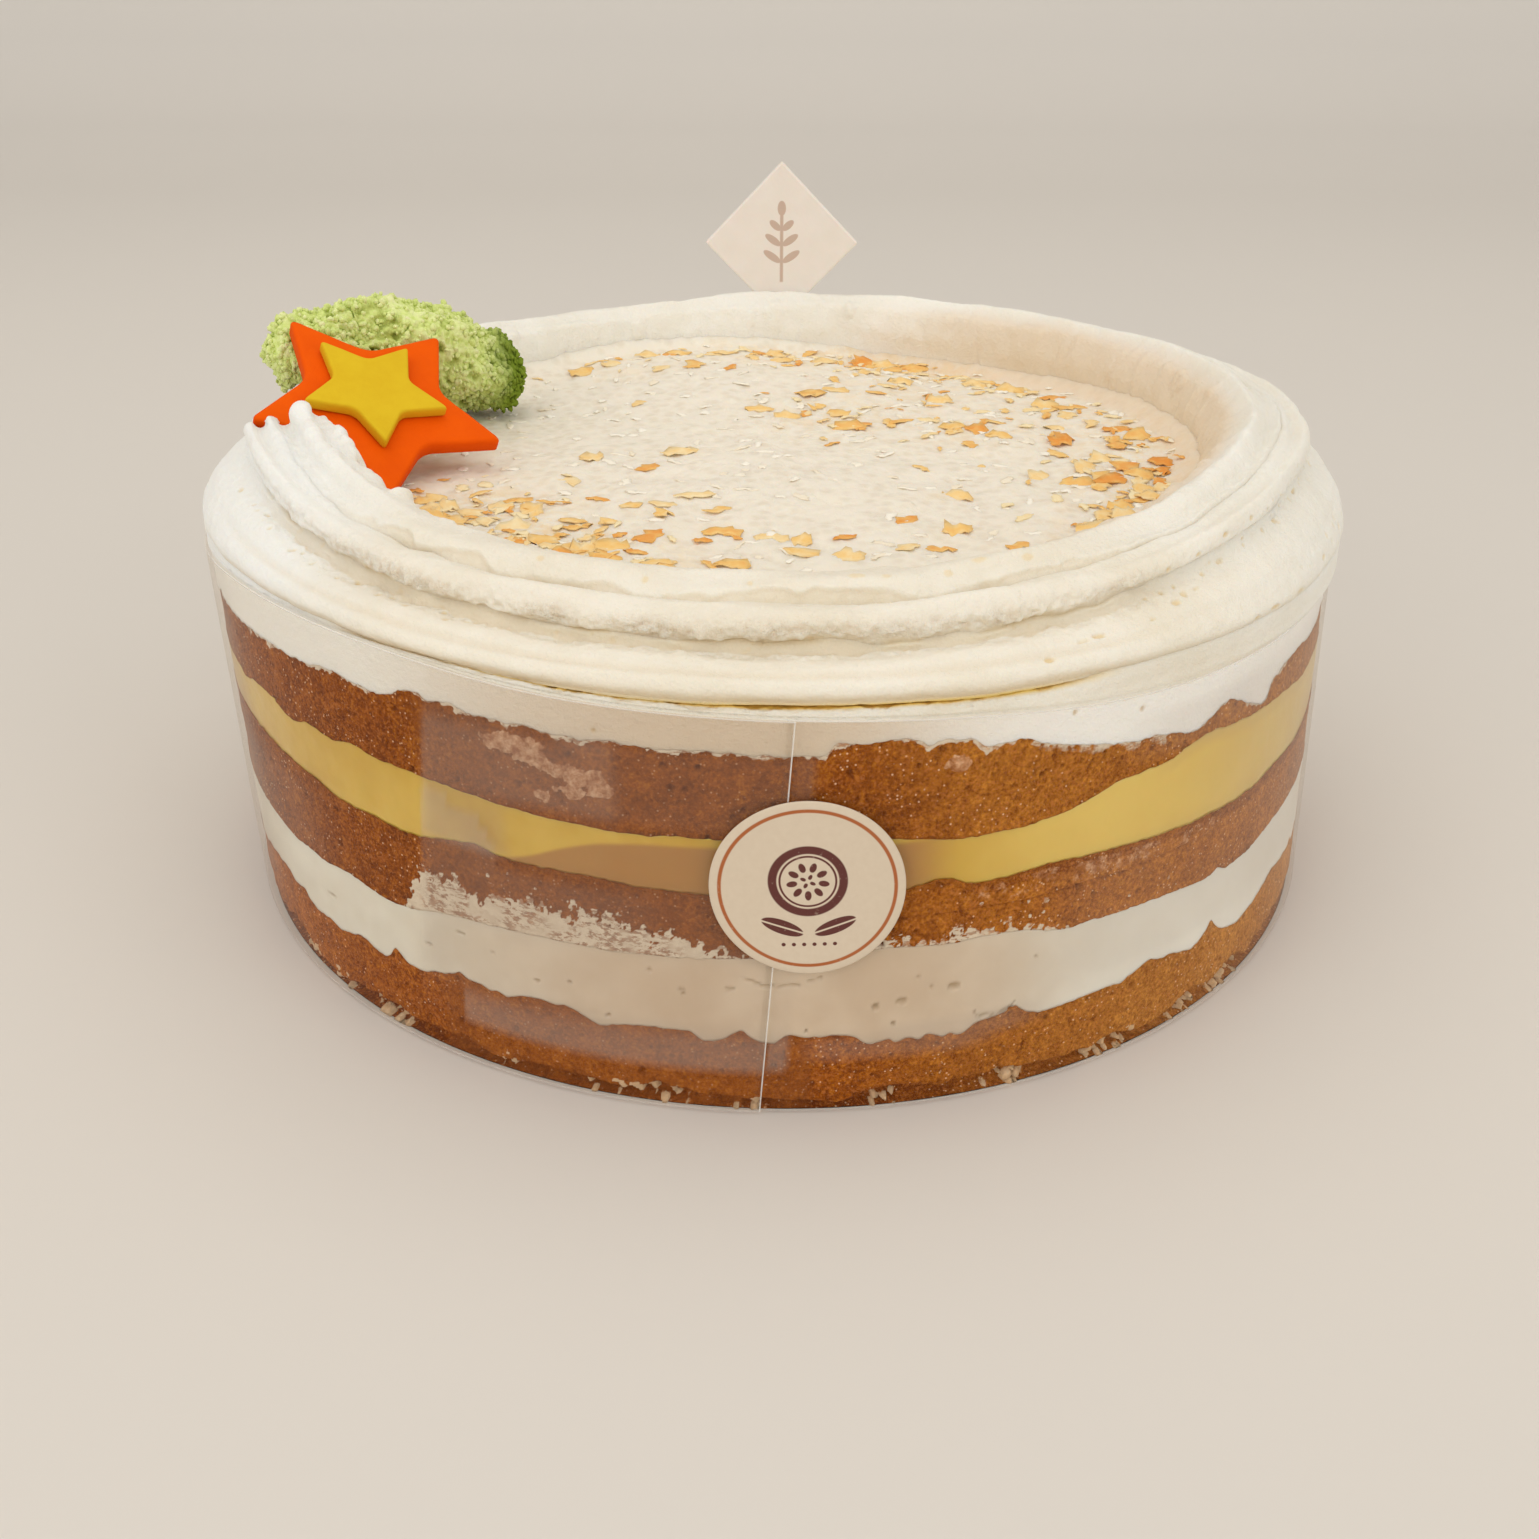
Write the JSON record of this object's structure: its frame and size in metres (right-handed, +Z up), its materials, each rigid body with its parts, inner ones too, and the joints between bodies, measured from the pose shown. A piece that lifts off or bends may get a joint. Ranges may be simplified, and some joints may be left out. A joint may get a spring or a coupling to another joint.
{
  "type": "layer cake",
  "caption": "Round passion fruit layer cake in a clear film collar, with a piped cream rim, coconut centre, sugar stars, green sponge and a small upright plaque.",
  "frame": {"origin": "centre of the box's base, on the face the cake rests on", "axes": "+Z up through the layers, -Y toward the label at the front"},
  "size_m": [0.2213, 0.2206, 0.1187],
  "materials": {
    "sponge": "open crumb, matt, golden brown",
    "cream": "soft white cream, satin",
    "curd": "yellow fruit curd, wet sheen",
    "piped_cream": "piped white cream, satin",
    "orange_sugar": "smooth orange sugar paste",
    "yellow_sugar": "smooth yellow sugar paste",
    "green_sponge": "torn green sponge, open crumb",
    "ivory_sugar": "smooth ivory sugar paste",
    "film": "clear glossy acetate film",
    "label": "matt printed paper"
  },
  "bodies": {
    "root": {"sponge_bottom": "sponge", "sponge_middle": "sponge", "sponge_top": "sponge", "cream_middle": "cream", "cream_top": "cream", "passion_curd": "curd", "piped_border": "piped_cream", "star_orange": "orange_sugar", "star_yellow": "yellow_sugar", "moss_sponge": "green_sponge", "plaque": "ivory_sugar", "film_collar": "film", "label": "label"}
  },
  "joints": []
}
